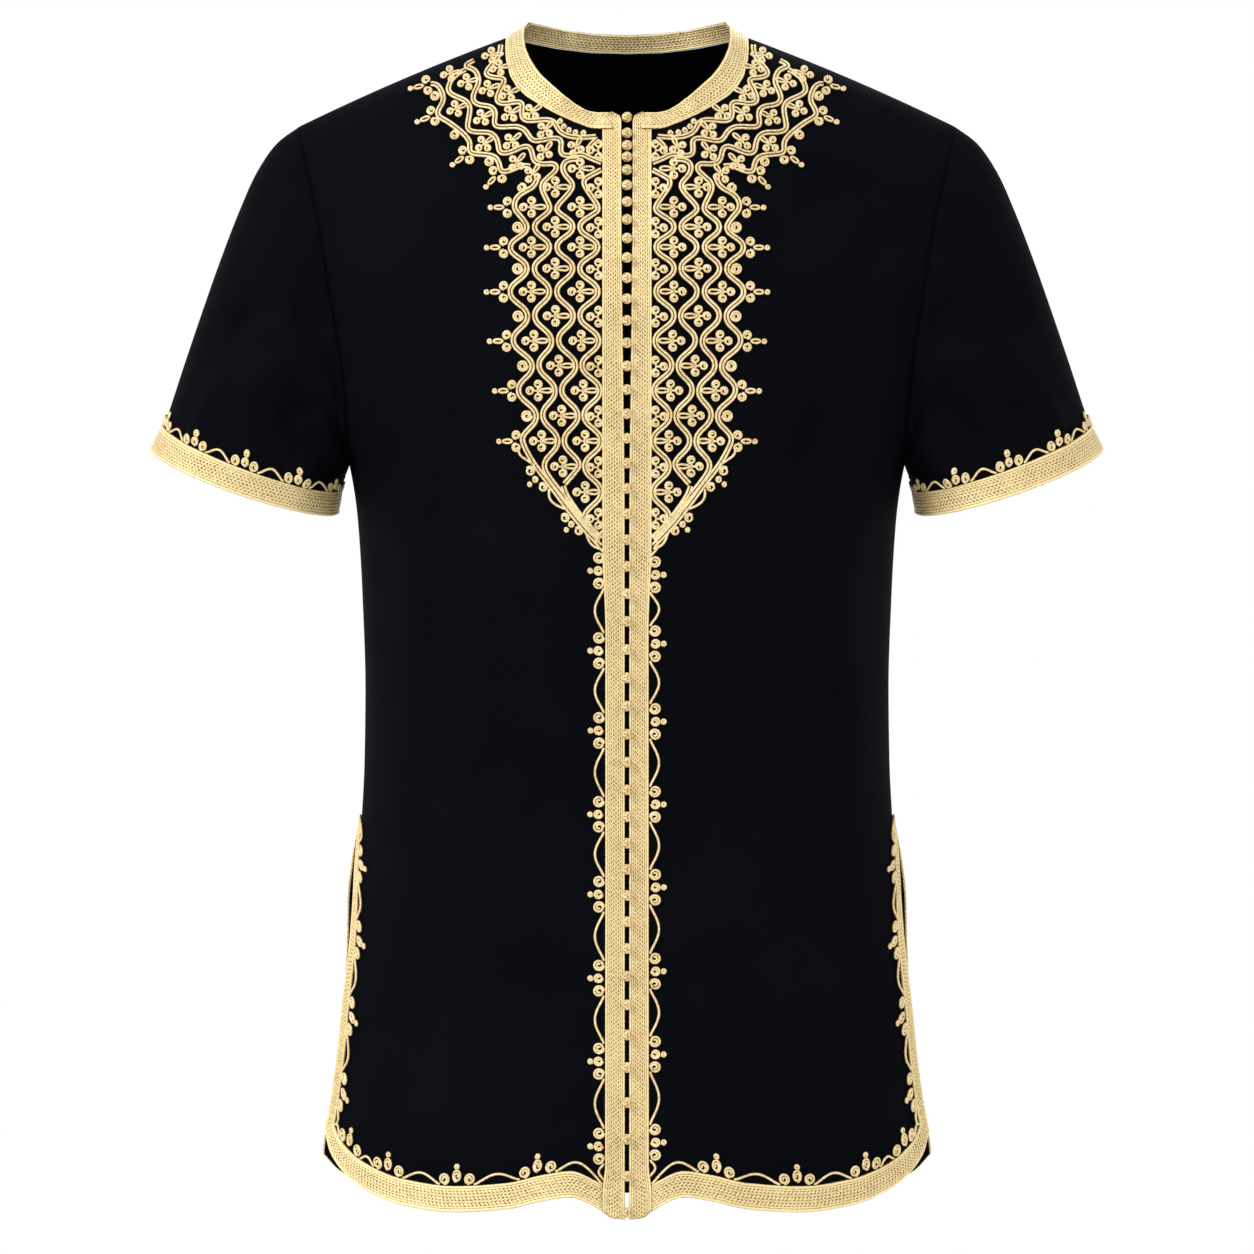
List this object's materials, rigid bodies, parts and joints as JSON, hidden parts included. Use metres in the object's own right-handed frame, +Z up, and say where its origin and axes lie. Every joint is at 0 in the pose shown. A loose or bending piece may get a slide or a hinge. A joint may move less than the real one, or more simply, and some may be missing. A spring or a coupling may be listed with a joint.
{
  "type": "tunic",
  "caption": "Collarless short-sleeved black tunic with gold cord lattice at the chest, gold braid edges, side slits and a row of knotted ball buttons.",
  "frame": {"origin": "middle of the neck, at the height where the shoulder seams start, where the wearer's neck comes through", "axes": "+Z up along the body, -Y to the front, +X to the right of someone looking at the front"},
  "size_m": [0.696, 0.2483, 0.8674],
  "materials": {
    "black_cloth": "matte, fine weave",
    "gold_braid": "metallic gold thread, plaited flat, soft shine",
    "gold_cord": "metallic gold thread, twisted cord, soft shine"
  },
  "bodies": {
    "root": {"front_left": "black_cloth", "front_right": "black_cloth", "back": "black_cloth", "sleeve_left": "black_cloth", "sleeve_right": "black_cloth", "hem_braid_front_left": "gold_braid", "hem_braid_front_right": "gold_braid", "hem_braid_back": "gold_braid", "cuff_braid_left": "gold_braid", "cuff_braid_right": "gold_braid", "edge_braid_left": "gold_braid", "edge_braid_right": "gold_braid", "neck_band": "gold_braid", "ornament_left": "gold_cord", "ornament_right": "gold_cord", "button_01": "gold_cord", "button_02": "gold_cord", "button_03": "gold_cord", "button_04": "gold_cord", "button_05": "gold_cord", "button_06": "gold_cord", "button_07": "gold_cord", "button_08": "gold_cord", "button_09": "gold_cord", "button_10": "gold_cord", "button_11": "gold_cord", "button_12": "gold_cord", "button_13": "gold_cord", "button_14": "gold_cord", "button_15": "gold_cord", "button_16": "gold_cord", "button_17": "gold_cord", "button_18": "gold_cord", "button_19": "gold_cord", "button_20": "gold_cord", "button_21": "gold_cord", "button_22": "gold_cord", "button_23": "gold_cord", "button_24": "gold_cord", "button_25": "gold_cord", "button_26": "gold_cord", "button_27": "gold_cord", "button_28": "gold_cord", "button_29": "gold_cord", "button_30": "gold_cord", "button_31": "gold_cord", "button_32": "gold_cord", "button_33": "gold_cord", "button_34": "gold_cord", "button_35": "gold_cord", "button_36": "gold_cord", "button_37": "gold_cord", "button_38": "gold_cord", "button_39": "gold_cord", "button_40": "gold_cord", "button_41": "gold_cord", "button_42": "gold_cord", "button_43": "gold_cord", "button_44": "gold_cord", "button_45": "gold_cord"}
  },
  "joints": []
}
